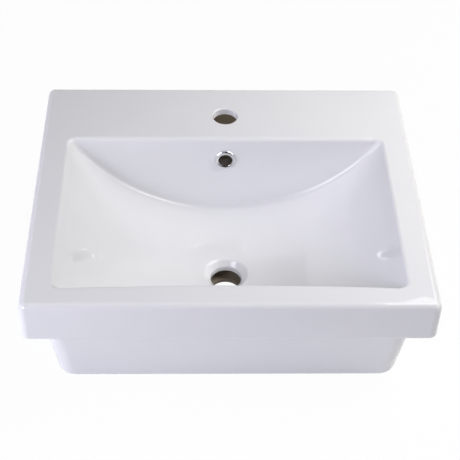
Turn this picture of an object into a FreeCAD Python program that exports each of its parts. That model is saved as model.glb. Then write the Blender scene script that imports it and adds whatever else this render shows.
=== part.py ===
import FreeCAD, Part
import math
import os

from FreeCAD import Vector

# Semi recessed basin, in millimetres. +X is to the right of someone who stands
# at the basin, +Y goes back towards the wall and +Z up. The origin is the
# middle of the whole basin in plan, on the plane that its foot rests on.

# Rim and apron
rim_width = 520.0
rim_depth = 440.0
total_height = 173.0
apron_height = 60.0
apron_draft = -0.4
rim_corner_radius = 10.5
rim_edge_radius = 9.5
apron_foot_radius = 5.5

# Tub under the rim, which drops into the furniture
tub_side_overhang = 19.5
tub_front_overhang = 23.0
tub_side_taper = 13.9
tub_front_taper = 9.0
tub_rear_taper = 4.0
tub_corner_radius = 26.0
tub_foot_radius = 11.0
foot_width = 20.0
foot_relief = 2.0

# Bowl
side_rim = 38.0
front_rim = 35.0
front_rim_bow = 5.4
ledge_depth = 120.5
bowl_depth = 125.0
bowl_end_rise = 5.0
bowl_end_rise_length = 90.0
back_lean = 4.5
front_lean = 4.0
crease_radius = 9.0
lip_radius = 6.0

# Walls of the fired body
skin = 8.0
overflow_passage_depth = 12.5
ledge_thickness = 10.5
pocket_back_wall = 18.0
pocket_corner_radius = 14.0
pocket_edge_radius = 6.0

# Tap hole
tap_hole_diameter = 35.0
tap_hole_behind_bowl = 52.5
tap_hole_lip_radius = 2.0

# Waste outlet
outlet_from_front = 176.0
outlet_hole_diameter = 43.0
outlet_dish_diameter = 58.0
outlet_dish_depth = 8.0
outlet_dish_edge_radius = 5.0
outlet_lip_radius = 2.5
outlet_upper_skin = 7.0
outlet_lower_skin = 6.0
outlet_seat_diameter = 92.0
outlet_seat_depth = 9.0

# Overflow hole, and the ring, gasket and spring clip in it
overflow_drop = 35.0
overflow_hole_diameter = 24.0
ring_clearance = 0.7
ring_sleeve_wall = 1.5
ring_sleeve_proud = 6.0
ring_flange_diameter = 31.0
ring_flange_height = 3.4
ring_flange_edge = 0.9
ring_face_width = 1.5
ring_bevel = 0.4
ring_skirt_width = 1.0
ring_wall_gap = 0.15
gasket_thickness = 0.8
gasket_side_gap = 0.3
groove_depth = 0.5
groove_from_end = 1.6
clip_thickness = 0.5
clip_band_height = 1.6
clip_leg_count = 3
clip_leg_width = 5.0
clip_leg_reach = 3.2

# Working values
clear_of = 15.0
front_y = -rim_depth / 2
back_y = rim_depth / 2
apron_z = total_height - apron_height
bowl_front_y = front_y + front_rim
bowl_back_y = back_y - ledge_depth
bowl_floor_z = total_height - bowl_depth
half_opening = rim_width / 2 - side_rim
tub_back_y = bowl_back_y + 2 * skin + overflow_passage_depth
tap_y = bowl_back_y + tap_hole_behind_bowl
outlet_y = front_y + outlet_from_front
outlet_lip_z = bowl_floor_z - outlet_dish_depth
overflow_z = total_height - overflow_drop
overflow_y = bowl_back_y - overflow_drop * math.tan(math.radians(back_lean))
sleeve_radius = overflow_hole_diameter / 2 - ring_clearance
ring_bore_radius = sleeve_radius - ring_sleeve_wall
sleeve_end = -(skin + ring_sleeve_proud)
centre = Vector(0, 0, 0)
right = Vector(1, 0, 0)
up = Vector(0, 0, 1)


def rounded_rectangle(x0, x1, y0, y1, radius, z):
    """Closed wire of a rectangle with round corners, on the plane z."""
    k = radius * (1 - math.sqrt(0.5))
    arcs = []
    for start, middle, end in (
        ((x1 - radius, y0), (x1 - k, y0 + k), (x1, y0 + radius)),
        ((x1, y1 - radius), (x1 - k, y1 - k), (x1 - radius, y1)),
        ((x0 + radius, y1), (x0 + k, y1 - k), (x0, y1 - radius)),
        ((x0, y0 + radius), (x0 + k, y0 + k), (x0 + radius, y0)),
    ):
        points = [Vector(x, y, z) for x, y in (start, middle, end)]
        arcs.append(Part.Arc(*points).toShape())
    edges = []
    for i, arc in enumerate(arcs):
        following = arcs[(i + 1) % len(arcs)]
        edges.append(arc)
        edges.append(Part.makeLine(arc.Vertexes[-1].Point, following.Vertexes[0].Point))
    return Part.Wire(edges)


def prism(wire, height):
    """Solid that stands on a flat wire."""
    return Part.Face(wire).extrude(up * height)


def turned(points):
    """Solid turned about +Z from an outline of radius and height pairs."""
    outline = [Vector(radius, 0, height) for radius, height in points]
    outline.append(outline[0])
    return Part.Face(Part.makePolygon(outline)).revolve(centre, up, 360)


def round_hole(diameter, y, z0, z1):
    """Upright cylinder on the middle line, from z0 up to z1."""
    return Part.makeCylinder(diameter / 2, z1 - z0, Vector(0, y, z0))


def edges_in(shape, low, high):
    """Edges of a shape that lie wholly within a box given by two corners."""
    box = FreeCAD.BoundBox(*low, *high)
    return [edge for edge in shape.Edges if box.isInside(edge.BoundBox)]


def edges_at(shape, z, half_width=rim_width, y0=-rim_depth, y1=rim_depth):
    """Edges of a shape that lie in the plane z, within a stretch of it."""
    tolerance = 0.01
    return edges_in(shape, (-half_width, y0, z - tolerance), (half_width, y1, z + tolerance))


def make_slab(inset=0.0):
    """Rim and apron as one drafted block, upright at the back, or it drawn in by a skin."""
    corner = max(rim_corner_radius - inset, lip_radius)
    low = apron_z + inset
    high = total_height - inset
    x_low = rim_width / 2 - inset - apron_draft
    x_high = rim_width / 2 - inset
    y_back = back_y - inset
    block = Part.makeWedge(-x_low, low, -y_back, -y_back, -x_high,
                           x_low, high, -front_y - inset - apron_draft,
                           -front_y - inset, x_high)
    block.rotate(centre, right, 90)
    uprights = [edge for edge in block.Edges if edge.BoundBox.ZLength > clear_of]
    return block.makeFillet(corner, uprights)


def make_tub(foot_z, top_z, inset=0.0):
    """Tapered tub under the rim, or the tub drawn in on its sides by a skin."""
    corner = max(tub_corner_radius - inset, lip_radius)
    wires = []
    for z in (foot_z, top_z):
        down = (apron_z - z) / apron_z
        x = rim_width / 2 - tub_side_overhang - inset - down * tub_side_taper
        y0 = front_y + tub_front_overhang + inset + down * tub_front_taper
        y1 = tub_back_y - inset - down * tub_rear_taper
        wires.append(rounded_rectangle(-x, x, y0, y1, corner, z))
    return Part.makeLoft(wires, True, True)


def scoop_depth(y):
    """Depth of the bowl's middle line, which rises a little near both ends."""
    into_end = max(bowl_front_y + bowl_end_rise_length - y, y - bowl_back_y + bowl_end_rise_length, 0.0)
    return bowl_depth - bowl_end_rise * (into_end / bowl_end_rise_length) ** 2


def scoop_section(y, grow):
    """Cross section of the bowl: an arc that runs from rim edge to rim edge."""
    depth = scoop_depth(y)
    radius = (half_opening ** 2 + depth ** 2) / (2 * depth)
    arc_centre_z = total_height - depth + radius
    radius += grow
    top_z = total_height + clear_of
    half = math.sqrt(radius ** 2 - (top_z - arc_centre_z) ** 2)
    left_end = Vector(-half, y, top_z)
    right_end = Vector(half, y, top_z)
    arc = Part.Arc(left_end, Vector(0, y, arc_centre_z - radius), right_end).toShape()
    return Part.Wire([arc, Part.makeLine(right_end, left_end)])


def make_front_wall(grow):
    """Leaning disc in front of the bowl, whose rim bows the front wall in at its middle."""
    lean = math.radians(front_lean)
    disc_radius = (half_opening ** 2 + front_rim_bow ** 2) / (2 * front_rim_bow)
    disc_y = bowl_front_y + front_rim_bow - disc_radius
    rim_radius = disc_radius - grow / math.cos(lean)
    foot_radius = rim_radius + total_height * math.tan(lean)
    top_radius = rim_radius - 2 * clear_of * math.tan(lean)
    return Part.makeCone(foot_radius, top_radius, total_height + 2 * clear_of, Vector(0, disc_y, 0))


def make_bowl(grow=0.0):
    """Space of the bowl, or that space grown all round by a skin."""
    first_y = bowl_front_y - 2 * clear_of
    last_y = bowl_back_y + 2 * clear_of
    count = 17
    sections = []
    for i in range(count):
        sections.append(scoop_section(first_y + (last_y - first_y) * i / (count - 1), grow))
    scoop = Part.makeLoft(sections, True, False)
    lean = math.radians(back_lean)
    outline = []
    for z in (0.0, total_height + 2 * clear_of):
        outline.append(Vector(-rim_width, bowl_back_y + grow / math.cos(lean)
                              + (z - total_height) * math.tan(lean), z))
    outline += [Vector(-rim_width, first_y, outline[1].z), Vector(-rim_width, first_y, 0), outline[0]]
    before_back_wall = Part.Face(Part.makePolygon(outline)).extrude(right * 2 * rim_width)
    bowl = scoop.common(before_back_wall).cut(make_front_wall(grow))
    creases = []
    for edge in bowl.Edges:
        box = edge.BoundBox
        if box.XLength > half_opening and box.ZLength > clear_of:
            creases.append(edge)
    return bowl.makeFillet(crease_radius + grow, creases)


def make_outside():
    """Outside of the body: rim, apron and tub, with their rounded edges."""
    slab = make_slab()
    slab = slab.makeFillet(rim_edge_radius, edges_at(slab, total_height))
    slab = slab.makeFillet(apron_foot_radius, edges_at(slab, apron_z))
    tub = make_tub(0.0, apron_z + skin)
    tub = tub.makeFillet(tub_foot_radius, edges_at(tub, 0.0))
    return slab.fuse(tub)


def make_hollow():
    """Overflow passage: all the space between the bowl's skin and the outside's."""
    rear = Part.makeBox(2 * rim_width, rim_depth, total_height,
                        Vector(-rim_width, tub_back_y - skin, 0))
    # Bowl and tub are so close in front that their skins are one wall there.
    front_wall = Part.makeBox(2 * rim_width, front_rim + front_rim_bow, apron_z + skin,
                              Vector(-rim_width, front_y, 0))
    tub_space = make_tub(skin + foot_relief, apron_z + 2 * skin, skin)
    hollow = make_slab(skin).fuse(tub_space).cut(rear).cut(front_wall)
    seat_skin = round_hole(outlet_seat_diameter + 2 * skin, outlet_y,
                           0.0, outlet_seat_depth + outlet_lower_skin)
    dish_skin = round_hole(outlet_dish_diameter + 2 * outlet_upper_skin, outlet_y,
                           outlet_lip_z - outlet_upper_skin, total_height)
    for solid in (make_bowl(skin), seat_skin, dish_skin):
        hollow = hollow.cut(solid)
    return hollow


def make_pocket():
    """Space under the tap ledge, open from below, for the tap's fixing."""
    half = rim_width / 2 - skin - apron_draft
    wire = rounded_rectangle(-half, half, tub_back_y, back_y - pocket_back_wall,
                             pocket_corner_radius, apron_z - clear_of)
    roof_z = total_height - ledge_thickness
    pocket = prism(wire, roof_z - apron_z + clear_of)
    return pocket.makeFillet(pocket_edge_radius, edges_at(pocket, roof_z))


def make_foot_relief():
    """Shallow step inside the foot, so that the basin rests on its edge only."""
    half = rim_width / 2 - tub_side_overhang - tub_side_taper - tub_foot_radius - foot_width
    y0 = front_y + tub_front_overhang + tub_front_taper + tub_foot_radius + foot_width
    y1 = tub_back_y - tub_rear_taper - tub_foot_radius - foot_width
    return prism(rounded_rectangle(-half, half, y0, y1, foot_width, -clear_of),
                 clear_of + foot_relief)


def make_outlet_dish():
    """Turned recess that leads the water from the bowl's floor to the outlet."""
    hole = outlet_hole_diameter / 2
    dish = outlet_dish_diameter / 2
    flare = clear_of * (dish - hole) / outlet_dish_depth
    dish_space = turned((
        (0.0, outlet_lip_z),
        (hole, outlet_lip_z),
        (dish + flare, bowl_floor_z + clear_of),
        (0.0, bowl_floor_z + clear_of),
    ))
    dish_space.translate(Vector(0, outlet_y, 0))
    return dish_space


def at_overflow(shape):
    """Put a shape made about +Z into the overflow's place on the bowl's back wall."""
    shape.rotate(centre, right, 90 - back_lean)
    shape.translate(Vector(0, overflow_y, overflow_z))
    return shape


def make_body():
    """The fired body: its outside less the bowl, passage, pocket and holes."""
    body = make_outside().cut(make_bowl())
    opening = edges_at(body, total_height, half_opening + 1, bowl_front_y - 1, bowl_back_y + 1)
    body = body.makeFillet(lip_radius, opening)

    body = body.cut(make_outlet_dish())
    outlet_reach = outlet_dish_diameter
    dish_edges = edges_in(body, (-outlet_reach, outlet_y - outlet_reach, outlet_lip_z + 1),
                          (outlet_reach, outlet_y + outlet_reach, total_height))
    body = body.makeFillet(outlet_dish_edge_radius, dish_edges)

    for space in (make_pocket(), make_hollow(), make_foot_relief()):
        body = body.cut(space)
    body = body.cut(round_hole(outlet_seat_diameter, outlet_y, -1.0, outlet_seat_depth))
    body = body.cut(round_hole(outlet_hole_diameter, outlet_y, -1.0, total_height))
    body = body.cut(round_hole(tap_hole_diameter, tap_y, apron_z, total_height + 1.0))
    body = body.cut(at_overflow(Part.makeCylinder(
        overflow_hole_diameter / 2, 2 * skin, Vector(0, 0, -1.5 * skin))))

    body = body.makeFillet(outlet_lip_radius, edges_at(
        body, outlet_lip_z, outlet_hole_diameter, outlet_y - outlet_reach, outlet_y + outlet_reach))
    tap_reach = tap_hole_diameter / 2 + tap_hole_lip_radius
    body = body.makeFillet(tap_hole_lip_radius, edges_at(
        body, total_height, tap_reach, tap_y - tap_reach, tap_y + tap_reach))
    return body


def make_ring():
    """Plated ring: a domed flange on the wall and a sleeve that goes through it."""
    flange = ring_flange_diameter / 2
    face = ring_bore_radius + ring_bevel + ring_face_width
    top = ring_flange_height
    ring = turned((
        (ring_bore_radius, sleeve_end),
        (sleeve_radius, sleeve_end),
        (sleeve_radius, sleeve_end + groove_from_end),
        (sleeve_radius - groove_depth, sleeve_end + groove_from_end),
        (sleeve_radius - groove_depth, sleeve_end + groove_from_end + clip_band_height),
        (sleeve_radius, sleeve_end + groove_from_end + clip_band_height),
        (sleeve_radius, gasket_thickness),
        (flange - ring_skirt_width, gasket_thickness),
        (flange - ring_skirt_width, ring_wall_gap),
        (flange, ring_wall_gap),
        (flange, ring_flange_edge),
        (flange - (flange - face) / 3, top - (top - ring_flange_edge) / 3),
        (face, top),
        (ring_bore_radius + ring_bevel, top),
        (ring_bore_radius, top - ring_bevel),
    ))
    return at_overflow(ring)


def make_gasket():
    """Soft washer between the ring's flange and the glazed wall."""
    outer = ring_flange_diameter / 2 - ring_skirt_width - gasket_side_gap
    inner = sleeve_radius + gasket_side_gap
    return at_overflow(turned((
        (inner, 0.0),
        (outer, 0.0),
        (outer, gasket_thickness),
        (inner, gasket_thickness),
    )))


def make_clip():
    """Sprung band in the sleeve's groove, with legs that bear on the wall's back."""
    band_low = sleeve_end + groove_from_end
    band_high = band_low + clip_band_height
    inner = sleeve_radius - groove_depth
    outer = inner + clip_thickness
    clip = turned(((inner, band_low), (outer, band_low), (outer, band_high), (inner, band_high)))
    tip = sleeve_radius + clip_leg_reach
    leg_outline = [Vector(radius, -clip_leg_width / 2, height) for radius, height in (
        (inner + clip_thickness / 2, band_low),
        (outer, band_low),
        (tip, -skin - clip_thickness),
        (tip + clip_thickness, -skin),
        (tip - clip_thickness, -skin),
        (inner + clip_thickness / 2, band_low + clip_thickness),
    )]
    leg_outline.append(leg_outline[0])
    leg = Part.Face(Part.makePolygon(leg_outline)).extrude(Vector(0, clip_leg_width, 0))
    for i in range(clip_leg_count):
        turned_leg = leg.copy()
        turned_leg.rotate(centre, up, 90 + 360 * i / clip_leg_count)
        clip = clip.fuse(turned_leg)
    return at_overflow(clip)


pieces = {
    "basin_body": make_body(),
    "overflow_ring": make_ring(),
    "overflow_gasket": make_gasket(),
    "overflow_clip": make_clip(),
}

os.makedirs("parts", exist_ok=True)
for name, shape in pieces.items():
    shape.exportStep(f"parts/{name}.step")
    print(name, "valid" if shape.isValid() else "NOT valid", len(shape.Solids), "solid",
          round(shape.Volume / 1000, 3), "cm3")
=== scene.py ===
import logging
import math
from abc import ABC, abstractmethod
from dataclasses import dataclass
from enum import Enum
from typing import ClassVar, Iterable, Sequence

import bmesh
import bpy
from mathutils import Matrix, Vector


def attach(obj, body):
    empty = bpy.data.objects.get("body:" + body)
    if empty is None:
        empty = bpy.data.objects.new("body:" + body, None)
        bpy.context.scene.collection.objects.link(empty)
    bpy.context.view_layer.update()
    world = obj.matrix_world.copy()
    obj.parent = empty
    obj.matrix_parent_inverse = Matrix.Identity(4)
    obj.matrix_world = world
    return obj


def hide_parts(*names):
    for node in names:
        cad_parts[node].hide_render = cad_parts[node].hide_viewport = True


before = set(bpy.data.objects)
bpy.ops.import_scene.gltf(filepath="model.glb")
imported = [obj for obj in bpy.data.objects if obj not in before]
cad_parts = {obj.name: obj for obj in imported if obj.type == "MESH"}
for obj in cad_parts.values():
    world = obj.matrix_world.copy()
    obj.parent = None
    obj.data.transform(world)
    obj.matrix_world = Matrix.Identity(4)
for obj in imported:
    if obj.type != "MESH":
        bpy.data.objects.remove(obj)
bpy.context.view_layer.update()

log = logging.getLogger("basin")

# The semi recessed basin's finished pieces and its studio, in metres, in the
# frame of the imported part: +X right, +Y to the wall, +Z up, its foot on z = 0.

ROOT = "root"
MM = 0.001
# A mix node has sockets for each kind of data, so those for colours go by number.
MIX_FIRST = 6
MIX_SECOND = 7
MIX_RESULT = 2

XYZ = tuple[float, float, float]
BASIN_MIDDLE: XYZ = (0.0, 0.0, 0.1)
WHITE = "FFFFFF"
WARM_WHITE = "FFFDFA"
COOL_WHITE = "F1F0FF"


# ---------------------------------------------------------------- small helpers


def linear(hex_colour: str) -> tuple[float, float, float, float]:
    """Turn an sRGB hex colour into Blender's linear RGBA.

    Args:
        hex_colour: six hex digits, such as "E8E8EA".

    Returns:
        The linear colour with an alpha of 1.
    """
    channels = []
    for i in (0, 2, 4):
        value = int(hex_colour[i:i + 2], 16) / 255.0
        channels.append(value / 12.92 if value <= 0.04045 else ((value + 0.055) / 1.055) ** 2.4)
    return (channels[0], channels[1], channels[2], 1.0)


def add_node(tree: bpy.types.NodeTree, kind: str, values: dict[str | int, object] | None = None,
             links: dict[str | int, bpy.types.NodeSocket] | None = None,
             **settings: object) -> bpy.types.Node:
    """Add a shader node, with its settings, socket values and incoming links.

    Args:
        tree: node tree that gets the node.
        kind: Blender's name of the node type.
        values: socket name or index to the value it is given.
        links: socket name or index to the output socket that feeds it.
        **settings: properties of the node itself.

    Returns:
        The new node.
    """
    node = tree.nodes.new(kind)
    for name, value in settings.items():
        setattr(node, name, value)
    for socket, value in (values or {}).items():
        node.inputs[socket].default_value = value
    for socket, output in (links or {}).items():
        tree.links.new(output, node.inputs[socket])
    return node


def seen_directly(tree: bpy.types.NodeTree) -> bpy.types.NodeSocket:
    """Tell rays of the camera, of mirrors and through glass from the light's own.

    Args:
        tree: node tree of a material or world.

    Returns:
        An output socket that is 1 for what is seen, and 0 for what only lights.
    """
    path = add_node(tree, "ShaderNodeLightPath")
    share = path.outputs["Is Camera Ray"]
    for kind in ("Is Glossy Ray", "Is Transmission Ray"):
        share = add_node(tree, "ShaderNodeMath", links={0: share, 1: path.outputs[kind]},
                         operation="MAXIMUM").outputs[0]
    return share


def mesh_object(name: str, bm: bmesh.types.BMesh, materials: Sequence[bpy.types.Material],
                smooth_angle: float = 30.0) -> bpy.types.Object:
    """Turn a bmesh into an object of the scene, shaded smooth up to an angle.

    Args:
        name: name of the object.
        bm: the finished bmesh, which is freed.
        materials: its materials, in slot order.
        smooth_angle: edges that turn more than this many degrees stay sharp.

    Returns:
        The new object, at the origin.
    """
    limit = math.radians(smooth_angle)
    for edge in bm.edges:
        edge.smooth = len(edge.link_faces) == 2 and edge.calc_face_angle(0.0) < limit
    for face in bm.faces:
        face.smooth = True
    mesh = bpy.data.meshes.new(name)
    bm.to_mesh(mesh)
    bm.free()
    for material in materials:
        mesh.materials.append(material)
    obj = bpy.data.objects.new(name, mesh)
    bpy.context.scene.collection.objects.link(obj)
    return obj


def aimed(place: XYZ, target: XYZ, front: str) -> Matrix:
    """Place something so that its front looks at a target.

    Args:
        place: where it stands.
        target: what it looks at.
        front: its own axis that is its front, "Z" or "-Z".

    Returns:
        The matrix that moves and turns it.
    """
    turn = (Vector(target) - Vector(place)).to_track_quat(front, "Y")
    return Matrix.Translation(place) @ turn.to_matrix().to_4x4()


# ---------------------------------------------------------------- finishes


class Finish(ABC):
    """A finish, named for what the real surface is made of."""

    title: ClassVar[str]

    @abstractmethod
    def surface(self, tree: bpy.types.NodeTree) -> bpy.types.NodeSocket:
        """Mix the finish from nodes.

        Args:
            tree: empty node tree of its material.

        Returns:
            The output of its shader.
        """

    def make(self) -> bpy.types.Material:
        """Build the material.

        Returns:
            The finished material.
        """
        material = bpy.data.materials.new(self.title)
        material.use_nodes = True
        tree = material.node_tree
        tree.nodes.clear()
        add_node(tree, "ShaderNodeOutputMaterial", links={"Surface": self.surface(tree)})
        return material


@dataclass(frozen=True)
class VitreousChinaGlaze(Finish):
    """Opaque white sanitaryware glaze, sprayed on and fired: hard, glassy and a little wavy."""

    title: ClassVar[str] = "vitreous china, white glaze"
    colour: str = "F5F5F7"
    pooled_colour: str = "F0F1F4"
    roughness: float = 0.045
    ior: float = 1.52
    cloud_mm: float = 90.0
    wave_mm: float = 55.0
    wave_height_mm: float = 0.10
    peel_mm: float = 2.2
    peel_height_mm: float = 0.002

    def surface(self, tree: bpy.types.NodeTree) -> bpy.types.NodeSocket:
        """Mix the glaze.

        Args:
            tree: empty node tree of its material.

        Returns:
            The output of its shader.
        """
        place = add_node(tree, "ShaderNodeTexCoord").outputs["Object"]
        # The glaze lies a little thicker in some places than in others, which
        # gives the white a faint cool cloudiness.
        cloud = add_node(tree, "ShaderNodeTexNoise",
                         {"Scale": 1 / (self.cloud_mm * MM), "Detail": 2.0}, {"Vector": place})
        tint = add_node(tree, "ShaderNodeMix",
                        {MIX_FIRST: linear(self.colour), MIX_SECOND: linear(self.pooled_colour)},
                        {"Factor": cloud.outputs["Fac"]}, data_type="RGBA")
        # Slow waves from the firing bend the edges of what the glaze mirrors.
        wave = add_node(tree, "ShaderNodeTexNoise",
                        {"Scale": 1 / (self.wave_mm * MM), "Detail": 1.0}, {"Vector": place})
        wave_bump = add_node(tree, "ShaderNodeBump",
                             {"Strength": 1.0, "Distance": self.wave_height_mm * MM},
                             {"Height": wave.outputs["Fac"]})
        # Orange peel of a sprayed glaze, fine enough to only soften highlights.
        peel = add_node(tree, "ShaderNodeTexNoise",
                        {"Scale": 1 / (self.peel_mm * MM), "Detail": 2.0}, {"Vector": place})
        peel_bump = add_node(tree, "ShaderNodeBump",
                             {"Strength": 1.0, "Distance": self.peel_height_mm * MM},
                             {"Height": peel.outputs["Fac"], "Normal": wave_bump.outputs["Normal"]})
        shader = add_node(tree, "ShaderNodeBsdfPrincipled",
                          {"Roughness": self.roughness, "IOR": self.ior},
                          {"Base Color": tint.outputs[MIX_RESULT],
                           "Normal": peel_bump.outputs["Normal"]})
        return shader.outputs["BSDF"]


@dataclass(frozen=True)
class FiredClay(Finish):
    """Bare fired clay body, as cast: matt and brown-grey, with blotches and grit."""

    title: ClassVar[str] = "vitreous china, bare fired clay"
    colour: str = "C6B9A8"
    dark_colour: str = "A99A87"
    roughness: float = 0.85
    blotch_mm: float = 22.0
    grit_mm: float = 1.6
    grit_height_mm: float = 0.25

    def surface(self, tree: bpy.types.NodeTree) -> bpy.types.NodeSocket:
        """Mix the clay.

        Args:
            tree: empty node tree of its material.

        Returns:
            The output of its shader.
        """
        place = add_node(tree, "ShaderNodeTexCoord").outputs["Object"]
        # Uneven drying leaves broad blotches, drawn at a finger's width.
        blotch = add_node(tree, "ShaderNodeTexNoise",
                          {"Scale": 1 / (self.blotch_mm * MM), "Detail": 4.0}, {"Vector": place})
        shade = add_node(tree, "ShaderNodeMix",
                         {MIX_FIRST: linear(self.colour), MIX_SECOND: linear(self.dark_colour)},
                         {"Factor": blotch.outputs["Fac"]}, data_type="RGBA")
        # Grit in the clay, drawn coarser than its real third of a millimetre so that it shows.
        grit = add_node(tree, "ShaderNodeTexNoise",
                        {"Scale": 1 / (self.grit_mm * MM), "Detail": 3.0}, {"Vector": place})
        bump = add_node(tree, "ShaderNodeBump",
                        {"Strength": 0.6, "Distance": self.grit_height_mm * MM},
                        {"Height": grit.outputs["Fac"]})
        shader = add_node(tree, "ShaderNodeBsdfPrincipled", {"Roughness": self.roughness},
                          {"Base Color": shade.outputs[MIX_RESULT],
                           "Normal": bump.outputs["Normal"]})
        return shader.outputs["BSDF"]


@dataclass(frozen=True)
class ChromePlate(Finish):
    """Bright chromium plate on moulded plastic: a mirror with faint water marks."""

    title: ClassVar[str] = "bright chromium plate"
    colour: str = "ECEDF0"
    mark_colour: str = "E0E1E4"
    clean_roughness: float = 0.05
    marked_roughness: float = 0.14
    mark_mm: float = 4.0
    mark_from: float = 0.45
    mark_full: float = 0.75

    def surface(self, tree: bpy.types.NodeTree) -> bpy.types.NodeSocket:
        """Mix the plate.

        Args:
            tree: empty node tree of its material.

        Returns:
            The output of its shader.
        """
        place = add_node(tree, "ShaderNodeTexCoord").outputs["Object"]
        # Dried water dulls the plate in spots a few millimetres across.
        marks = add_node(tree, "ShaderNodeTexNoise",
                         {"Scale": 1 / (self.mark_mm * MM), "Detail": 3.0}, {"Vector": place})
        spots = add_node(tree, "ShaderNodeMapRange",
                         {"From Min": self.mark_from, "From Max": self.mark_full,
                          "To Min": self.clean_roughness, "To Max": self.marked_roughness},
                         {"Value": marks.outputs["Fac"]})
        tint = add_node(tree, "ShaderNodeMix",
                        {MIX_FIRST: linear(self.colour), MIX_SECOND: linear(self.mark_colour)},
                        {"Factor": marks.outputs["Fac"]}, data_type="RGBA")
        shader = add_node(tree, "ShaderNodeBsdfPrincipled", {"Metallic": 1.0},
                          {"Base Color": tint.outputs[MIX_RESULT],
                           "Roughness": spots.outputs["Result"]})
        return shader.outputs["BSDF"]


@dataclass(frozen=True)
class MouldedRubber(Finish):
    """Black moulded rubber: dull, with a bloom of lighter dust."""

    title: ClassVar[str] = "moulded rubber"
    colour: str = "1E1E1F"
    bloom_colour: str = "37373A"
    roughness: float = 0.62
    bloom_mm: float = 5.0
    bloom_height_mm: float = 0.05

    def surface(self, tree: bpy.types.NodeTree) -> bpy.types.NodeSocket:
        """Mix the rubber.

        Args:
            tree: empty node tree of its material.

        Returns:
            The output of its shader.
        """
        place = add_node(tree, "ShaderNodeTexCoord").outputs["Object"]
        # Bloom comes to the surface of rubber in pale clouds.
        bloom = add_node(tree, "ShaderNodeTexNoise",
                         {"Scale": 1 / (self.bloom_mm * MM), "Detail": 4.0}, {"Vector": place})
        tint = add_node(tree, "ShaderNodeMix",
                        {MIX_FIRST: linear(self.colour), MIX_SECOND: linear(self.bloom_colour)},
                        {"Factor": bloom.outputs["Fac"]}, data_type="RGBA")
        bump = add_node(tree, "ShaderNodeBump",
                        {"Strength": 0.3, "Distance": self.bloom_height_mm * MM},
                        {"Height": bloom.outputs["Fac"]})
        shader = add_node(tree, "ShaderNodeBsdfPrincipled", {"Roughness": self.roughness},
                          {"Base Color": tint.outputs[MIX_RESULT],
                           "Normal": bump.outputs["Normal"]})
        return shader.outputs["BSDF"]


@dataclass(frozen=True)
class SpringSteelStrip(Finish):
    """Rolled spring steel strip: bright, with fine lines along the strip."""

    title: ClassVar[str] = "rolled spring steel"
    colour: str = "A9ABAE"
    line_colour: str = "8C8E91"
    roughness: float = 0.3
    line_mm: float = 0.3
    line_length_mm: float = 6.0

    def surface(self, tree: bpy.types.NodeTree) -> bpy.types.NodeSocket:
        """Mix the steel.

        Args:
            tree: empty node tree of its material.

        Returns:
            The output of its shader.
        """
        place = add_node(tree, "ShaderNodeTexCoord").outputs["Object"]
        # Rolling leaves lines along the strip, which is bent round the Y axis. They
        # are drawn at a third of a millimetre.
        along = 1 / (self.line_length_mm * MM)
        across = 1 / (self.line_mm * MM)
        stretch = add_node(tree, "ShaderNodeMapping", {"Scale": (along, across, along)},
                           {"Vector": place})
        lines = add_node(tree, "ShaderNodeTexNoise", {"Scale": 1.0, "Detail": 2.0},
                         {"Vector": stretch.outputs["Vector"]})
        tint = add_node(tree, "ShaderNodeMix",
                        {MIX_FIRST: linear(self.colour), MIX_SECOND: linear(self.line_colour)},
                        {"Factor": lines.outputs["Fac"]}, data_type="RGBA")
        shader = add_node(tree, "ShaderNodeBsdfPrincipled",
                          {"Metallic": 1.0, "Roughness": self.roughness},
                          {"Base Color": tint.outputs[MIX_RESULT]})
        return shader.outputs["BSDF"]


@dataclass(frozen=True)
class StudioPaper(Finish):
    """White seamless paper: it takes the basin's soft shadow, and shows as white."""

    title: ClassVar[str] = "seamless white paper"
    colour: str = "FBFBFB"
    white_share: float = 0.96

    def surface(self, tree: bpy.types.NodeTree) -> bpy.types.NodeSocket:
        """Mix the paper, which glows for the camera, mirrors and glass only.

        Args:
            tree: empty node tree of its material.

        Returns:
            The output of its shader.
        """
        paper = add_node(tree, "ShaderNodeBsdfDiffuse", {"Color": linear(self.colour)})
        white = add_node(tree, "ShaderNodeEmission", {"Color": linear(WHITE), "Strength": 1.0})
        share = add_node(tree, "ShaderNodeMath", {1: self.white_share},
                         {0: seen_directly(tree)}, operation="MULTIPLY")
        mix = add_node(tree, "ShaderNodeMixShader",
                       links={0: share.outputs[0], 1: paper.outputs[0], 2: white.outputs[0]})
        return mix.outputs[0]


@dataclass(frozen=True)
class DarkCardPaper(Finish):
    """Matt dark paper, thinned out to nothing between two places along X."""

    title: ClassVar[str] = "dark card"
    fade: tuple[float, float]
    colour: str = "3A3A3C"

    def surface(self, tree: bpy.types.NodeTree) -> bpy.types.NodeSocket:
        """Mix the paper.

        Args:
            tree: empty node tree of its material.

        Returns:
            The output of its shader.
        """
        matt = add_node(tree, "ShaderNodeBsdfDiffuse", {"Color": linear(self.colour)})
        clear = add_node(tree, "ShaderNodeBsdfTransparent")
        place = add_node(tree, "ShaderNodeTexCoord").outputs["Object"]
        across = add_node(tree, "ShaderNodeSeparateXYZ", links={0: place})
        gone = add_node(tree, "ShaderNodeMapRange",
                        {"From Min": self.fade[0], "From Max": self.fade[1]},
                        {"Value": across.outputs["X"]})
        mix = add_node(tree, "ShaderNodeMixShader",
                       links={0: gone.outputs["Result"], 1: matt.outputs[0], 2: clear.outputs[0]})
        return mix.outputs[0]


# ---------------------------------------------------------------- the basin


class Skin(Enum):
    """The two surfaces of the fired body, in the order of its material slots."""

    GLAZED = 0
    BARE = 1


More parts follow.
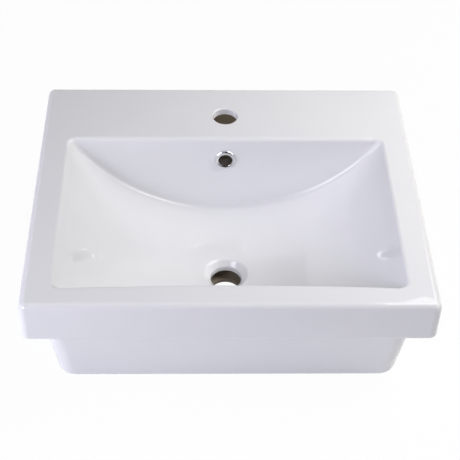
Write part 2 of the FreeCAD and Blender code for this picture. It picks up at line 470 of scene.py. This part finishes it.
@dataclass(frozen=True)
class GlazeStart:
    """A face that is surely glazed: of those that look one way, the nearest to a point."""

    near: XYZ
    outward: XYZ
    least_cosine: float = 0.95

    def face(self, bm: bmesh.types.BMesh) -> bmesh.types.BMFace:
        """Find the face.

        Args:
            bm: the merged body.

        Returns:
            The face from which the glaze is walked.
        """
        near, outward = Vector(self.near), Vector(self.outward)
        looking = (face for face in bm.faces if face.normal.dot(outward) > self.least_cosine)
        return min(looking, key=lambda face: min((v.co - near).length for v in face.verts))


@dataclass
class BasinBody:
    """The fired body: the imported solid's own shape, merged, smoothed and glazed where glaze flows.

    Glaze runs over every rounded edge and stops at the sharp ones, so it is found
    by walking from the rim, the tub and the apron's underside over all edges that
    turn gently. It leaves out the foot, and the open pocket under the tap ledge,
    which lies between two corners.
    """

    node: str = "basin_body"
    slot: str = "vitreous_china"
    smooth_angle: float = 32.0
    merge_gap: float = 0.005 * MM
    sliver: float = 0.002 * MM
    foot_height: float = 0.3 * MM
    pocket_low: XYZ = (-0.2425, 0.124, 0.1135)
    pocket_high: XYZ = (0.2425, 0.21, 0.1627)
    starts: tuple[GlazeStart, ...] = (
        GlazeStart((0.24, -0.21, 0.173), (0.0, 0.0, 1.0)),
        GlazeStart((0.2, -0.196, 0.11), (0.0, -1.0, 0.0)),
        GlazeStart((0.25, -0.19, 0.113), (0.0, 0.0, -1.0)),
    )

    def merged_copy(self) -> bmesh.types.BMesh:
        """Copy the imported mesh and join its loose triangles.

        Returns:
            A closed bmesh of the body.
        """
        bm = bmesh.new()
        bm.from_mesh(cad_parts[self.node].data)
        bmesh.ops.remove_doubles(bm, verts=bm.verts, dist=self.merge_gap)
        bmesh.ops.dissolve_degenerate(bm, dist=self.sliver, edges=bm.edges)
        return bm

    def in_pocket(self, face: bmesh.types.BMFace) -> bool:
        """Tell whether a face lies in the open pocket under the tap ledge, which stays bare."""
        middle = face.calc_center_median()
        return all(a < c < b for a, c, b in zip(self.pocket_low, middle, self.pocket_high))

    def glazed_faces(self, bm: bmesh.types.BMesh) -> set[bmesh.types.BMFace]:
        """Find the faces that the glaze covers.

        Args:
            bm: the merged body.

        Returns:
            The glazed faces.
        """
        limit = math.radians(self.smooth_angle)
        found: set[bmesh.types.BMFace] = set()
        waiting = [start.face(bm) for start in self.starts]
        while waiting:
            face = waiting.pop()
            if face in found or self.in_pocket(face):
                continue
            found.add(face)
            for edge in face.edges:
                if len(edge.link_faces) == 2 and edge.calc_face_angle(0.0) < limit:
                    waiting.extend(other for other in edge.link_faces if other not in found)
        return found

    def build(self, glaze: bpy.types.Material, clay: bpy.types.Material) -> bpy.types.Object:
        """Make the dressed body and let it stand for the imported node.

        Args:
            glaze: material of the glazed skin.
            clay: material of the bare clay.

        Returns:
            The new object.
        """
        bm = self.merged_copy()
        glazed = self.glazed_faces(bm)
        for face in bm.faces:
            on_foot = max(v.co.z for v in face.verts) < self.foot_height
            covered = face in glazed and not on_foot
            face.material_index = (Skin.GLAZED if covered else Skin.BARE).value
        body = mesh_object("basin_body_glazed", bm, (glaze, clay), self.smooth_angle)
        shading = body.modifiers.new("even shading", "WEIGHTED_NORMAL")
        shading.mode = "FACE_AREA_WITH_ANGLE"
        shading.keep_sharp = True
        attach(body, ROOT)
        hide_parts(self.node)
        return body


@dataclass
class OverflowFitting:
    """The plated ring in the overflow hole, with its gasket and spring clip.

    Heights are measured along the hole's axis, from the face of the bowl's back
    wall towards the bowl.
    """

    ring_node: str = "overflow_ring"
    gasket_node: str = "overflow_gasket"
    clip_node: str = "overflow_clip"
    centre: XYZ = (0.0, 0.0967, 0.138)
    lean: float = 4.5
    bore_radius: float = 9.8 * MM
    sleeve_radius: float = 11.3 * MM
    sleeve_end: float = -14.0 * MM
    flange_radius: float = 15.5 * MM
    flange_height: float = 3.4 * MM
    flange_edge: float = 0.9 * MM
    skirt_width: float = 1.0 * MM
    skirt_gap: float = 0.15 * MM
    gasket_top: float = 0.8 * MM
    face_width: float = 1.5 * MM
    bevel: float = 0.4 * MM
    dome_steps: int = 10
    turn_steps: int = 96
    merge_gap: float = 0.001 * MM
    smooth_angle: float = 34.0

    def ring_outline(self) -> list[tuple[float, float]]:
        """Draw the ring's section, from its sleeve's end round its dome.

        Returns:
            Radius and height pairs.
        """
        skirt_inside = self.flange_radius - self.skirt_width
        points = [
            (self.bore_radius, self.sleeve_end),
            (self.sleeve_radius, self.sleeve_end),
            (self.sleeve_radius, self.gasket_top),
            (skirt_inside, self.gasket_top),
            (skirt_inside, self.skirt_gap),
            (self.flange_radius, self.skirt_gap),
        ]
        mouth = self.bore_radius + self.bevel
        face_edge = mouth + self.face_width
        dome_width = self.flange_radius - face_edge
        dome_height = self.flange_height - self.flange_edge
        for i in range(self.dome_steps + 1):
            turn = math.radians(90 * i / self.dome_steps)
            points.append((face_edge + dome_width * math.cos(turn),
                           self.flange_edge + dome_height * math.sin(turn)))
        points.append((mouth, self.flange_height))
        points.append((self.bore_radius, self.flange_height - self.bevel))
        return points

    def build_ring(self, plate: bpy.types.Material) -> bpy.types.Object:
        """Spin the ring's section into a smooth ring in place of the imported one.

        Args:
            plate: the plated finish.

        Returns:
            The new object.
        """
        bm = bmesh.new()
        verts = [bm.verts.new((radius, 0.0, height)) for radius, height in self.ring_outline()]
        edges = [bm.edges.new((verts[i], verts[(i + 1) % len(verts)])) for i in range(len(verts))]
        bmesh.ops.spin(bm, geom=verts + edges, axis=(0, 0, 1), cent=(0, 0, 0),
                       angle=math.tau, steps=self.turn_steps, use_merge=True)
        bmesh.ops.remove_doubles(bm, verts=bm.verts, dist=self.merge_gap)
        bmesh.ops.recalc_face_normals(bm, faces=bm.faces)
        turn = Matrix.Rotation(math.radians(90 - self.lean), 4, "X")
        bmesh.ops.transform(bm, matrix=Matrix.Translation(self.centre) @ turn, verts=bm.verts)
        ring = mesh_object("overflow_ring_plated", bm, (plate,), self.smooth_angle)
        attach(ring, ROOT)
        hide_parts(self.ring_node)
        return ring

    def dress_node(self, name: str, material: bpy.types.Material) -> bpy.types.Object:
        """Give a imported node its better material.

        Args:
            name: the node.
            material: its material.

        Returns:
            The node's object.
        """
        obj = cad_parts[name]
        for slot in obj.material_slots:
            slot.material = material
        return obj

    def build(self) -> tuple[bpy.types.Object, ...]:
        """Make the ring and dress the pieces behind it.

        Returns:
            Ring, gasket and clip.
        """
        return (self.build_ring(ChromePlate().make()),
                self.dress_node(self.gasket_node, MouldedRubber().make()),
                self.dress_node(self.clip_node, SpringSteelStrip().make()))


# ---------------------------------------------------------------- studio


@dataclass
class PhotoCamera:
    """The camera of the picture, fitted to the basin's outlines."""

    place: XYZ = (-0.04669, -1.14543, 1.20467)
    yaw: float = 1.96
    pitch: float = 44.23
    roll: float = -1.41
    focal_px: float = 1140.7
    axis_px: tuple[float, float] = (220.7, 231.05)
    picture_px: float = 460.0
    sensor_mm: float = 36.0

    def build(self) -> bpy.types.Object:
        """Create the camera and make it the scene's own.

        Returns:
            The camera.
        """
        yaw, pitch, roll = (math.radians(a) for a in (self.yaw, self.pitch, self.roll))
        ahead = Vector((math.sin(yaw) * math.cos(pitch), math.cos(yaw) * math.cos(pitch), -math.sin(pitch)))
        side = Vector((math.cos(yaw), -math.sin(yaw), 0.0))
        down = ahead.cross(side)
        right = math.cos(roll) * side + math.sin(roll) * down
        below = -math.sin(roll) * side + math.cos(roll) * down
        turn = Matrix((right, -below, -ahead)).transposed().to_4x4()
        lens = bpy.data.cameras.new("camera")
        lens.sensor_width = self.sensor_mm
        lens.lens = self.focal_px * self.sensor_mm / self.picture_px
        lens.shift_x = (self.picture_px / 2 - self.axis_px[0]) / self.picture_px
        lens.shift_y = (self.axis_px[1] - self.picture_px / 2) / self.picture_px
        camera = bpy.data.objects.new("camera", lens)
        camera.matrix_world = Matrix.Translation(self.place) @ turn
        bpy.context.scene.collection.objects.link(camera)
        bpy.context.scene.camera = camera
        return camera


@dataclass(frozen=True)
class SoftBox:
    """One flat, square studio lamp."""

    name: str
    place: XYZ
    size: float
    watts: float
    colour: str
    target: XYZ = BASIN_MIDDLE

    def build(self) -> bpy.types.Object:
        """Create the lamp, turned towards its target.

        Returns:
            The lamp.
        """
        lamp = bpy.data.lights.new(self.name, "AREA")
        lamp.shape = "SQUARE"
        lamp.size = self.size
        lamp.energy = self.watts
        lamp.color = linear(self.colour)[:3]
        obj = bpy.data.objects.new(self.name, lamp)
        obj.matrix_world = aimed(self.place, self.target, "-Z")
        bpy.context.scene.collection.objects.link(obj)
        return obj


@dataclass(frozen=True)
class DarkCard:
    """Dark card that the glaze and the plating mirror, thinning out to the right along X."""

    name: str
    place: XYZ
    half: float
    fade: tuple[float, float]
    target: XYZ = BASIN_MIDDLE

    def build(self) -> bpy.types.Object:
        """Hang the card so that it faces its target, unseen by the camera.

        Returns:
            The card.
        """
        bm = bmesh.new()
        bmesh.ops.create_grid(bm, x_segments=1, y_segments=1, size=self.half)
        bmesh.ops.transform(bm, matrix=aimed(self.place, self.target, "Z"), verts=bm.verts)
        card = mesh_object(self.name, bm, (DarkCardPaper(self.fade).make(),))
        card.visible_camera = False
        return card


@dataclass
class Studio:
    """White floor, white surroundings, dark cards and lamps."""

    floor_half: float = 6.0
    cards: tuple[DarkCard, ...] = (
        DarkCard("card_behind_camera", (0.0, -1.9, 1.9), 2.3, (2.1, 2.3)),
        DarkCard("card_behind_basin", (-0.2, 1.8, 1.6), 1.0, (-0.5, 0.7)),
    )
    lamps: tuple[SoftBox, ...] = (
        SoftBox("right", (1.7, 0.0, 1.16), 0.9, 7.8, WARM_WHITE),
        SoftBox("right, high", (0.7, 0.0, 1.25), 0.7, 6.1, WARM_WHITE),
        SoftBox("right, back", (0.8, 0.5, 1.2), 0.7, 4.6, WARM_WHITE),
        SoftBox("key", (1.09, -0.45, 1.72), 0.3, 2.0, WARM_WHITE),
        SoftBox("left", (-1.97, 0.0, 0.45), 0.7, 6.4, COOL_WHITE),
        SoftBox("left, front", (-1.1, -0.8, 0.5), 0.6, 4.2, COOL_WHITE),
        SoftBox("front fill", (-1.2, -1.2, 1.16), 0.75, 12.6, COOL_WHITE),
        SoftBox("front", (-0.5, -1.7, 1.0), 0.9, 1.8, COOL_WHITE),
    )

    def build_floor(self) -> bpy.types.Object:
        """Lay the paper that the basin stands on.

        Returns:
            The floor.
        """
        bm = bmesh.new()
        bmesh.ops.create_grid(bm, x_segments=1, y_segments=1, size=self.floor_half)
        floor = mesh_object("studio_floor", bm, (StudioPaper().make(),))
        return floor

    def build_surroundings(self) -> None:
        """Surround the studio with white that is seen, also in mirrors, but gives no light."""
        world = bpy.data.worlds.new("studio")
        world.use_nodes = True
        bpy.context.scene.world = world
        tree = world.node_tree
        tree.nodes.clear()
        white = add_node(tree, "ShaderNodeBackground", {"Color": linear(WHITE)},
                         {"Strength": seen_directly(tree)})
        add_node(tree, "ShaderNodeOutputWorld", links={"Surface": white.outputs[0]})

    def build(self) -> None:
        """Set up the whole studio."""
        self.build_floor()
        self.build_surroundings()
        for part in (*self.cards, *self.lamps):
            part.build()
        bpy.context.scene.view_settings.view_transform = "Standard"


def report(pieces: Iterable[bpy.types.Object]) -> None:
    """Log each piece with its number of faces."""
    for piece in pieces:
        log.info("%s: %d faces", piece.name, len(piece.data.polygons))


def main() -> None:
    """Build the studio, then the basin piece by piece."""
    logging.basicConfig(level=logging.INFO, format="%(message)s")
    PhotoCamera().build()
    Studio().build()
    body = BasinBody().build(VitreousChinaGlaze().make(), FiredClay().make())
    report((body, *OverflowFitting().build()))


if __name__ == "__main__":
    main()
